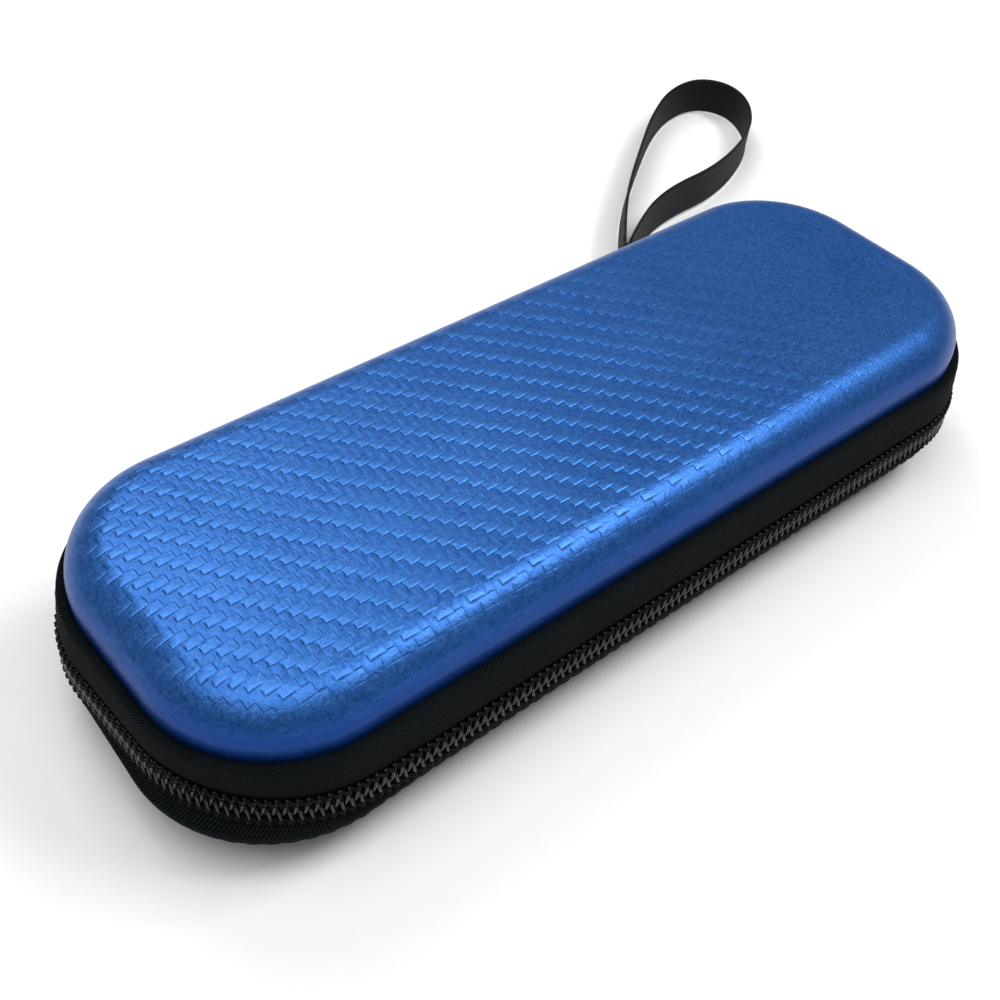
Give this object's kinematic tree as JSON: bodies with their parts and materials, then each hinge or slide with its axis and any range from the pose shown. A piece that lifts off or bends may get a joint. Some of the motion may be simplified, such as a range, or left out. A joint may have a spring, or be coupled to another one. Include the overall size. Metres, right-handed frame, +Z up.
{
  "type": "telescope carry case",
  "caption": "Hard-shell zip case for a pocket telescope: blue embossed lid, black zip, fabric hinge and wrist strap.",
  "frame": {"origin": "centre of the flat bottom face, which the closed case stands on", "axes": "+X along the case's length, to the end where the zip closes; +Y to the back, where the fabric hinge is; +Z up, through the lid"},
  "size_m": [0.2608, 0.1453, 0.0372],
  "materials": {
    "blue_leathercloth": "satin metallic blue, embossed with a woven pattern",
    "eva_foam": "matt pressed foam",
    "knit_lining": "matt knitted lining",
    "edge_binding": "ribbed binding tape",
    "zip_tape": "twill zip tape",
    "zip_coil": "shiny nylon coil",
    "zip_metal": "black enamelled die casting",
    "sewing_thread": "twisted thread",
    "hinge_fabric": "plain weave",
    "pocket_net": "open knitted net",
    "elastic": "ribbed elastic",
    "strap_ribbon": "woven nylon ribbon"
  },
  "bodies": {
    "base": {"base_cover": "blue_leathercloth", "base_foam_shell": "eva_foam", "base_lining": "knit_lining", "base_edge_binding": "edge_binding", "base_zip_tape": "zip_tape", "base_zip_coil": "zip_coil", "base_zip_end_stops": "zip_metal", "base_sewing_thread": "sewing_thread", "base_outer_hinge": "hinge_fabric", "base_inner_hinge": "edge_binding", "holding_band": "elastic", "holding_band_tacks": "sewing_thread", "wrist_strap_stub": "strap_ribbon", "wrist_strap": "strap_ribbon", "wrist_strap_tack": "sewing_thread"},
    "lid": {"lid_cover": "blue_leathercloth", "lid_foam_shell": "eva_foam", "lid_lining": "knit_lining", "lid_edge_binding": "edge_binding", "lid_zip_tape": "zip_tape", "lid_zip_coil": "zip_coil", "lid_zip_end_stops": "zip_metal", "lid_sewing_thread": "sewing_thread", "lid_outer_hinge": "hinge_fabric", "lid_inner_hinge": "edge_binding", "lid_pocket_net": "pocket_net", "lid_pocket_elastic": "elastic"},
    "slider": {"zip_slider": "zip_metal"},
    "pull": {"zip_pull": "zip_metal"}
  },
  "joints": [
    {"name": "lid_hinge", "type": "hinge", "parent": "base", "child": "lid", "pos_m": [0, 0.0377, 0.0145], "axis": [-1, 0, 0], "range_deg": [0, 110]},
    {"name": "zip_run", "type": "hinge", "parent": "base", "child": "slider", "pos_m": [0.0721, 0.0093, 0.0145], "axis": [0, 0, 1], "range_deg": [-20, 0]},
    {"name": "pull_swing", "type": "hinge", "parent": "slider", "child": "pull", "pos_m": [0.10234, 0.02276, 0.0145], "axis": [0.4067, -0.9135, 0], "range_deg": [0, 160]}
  ]
}
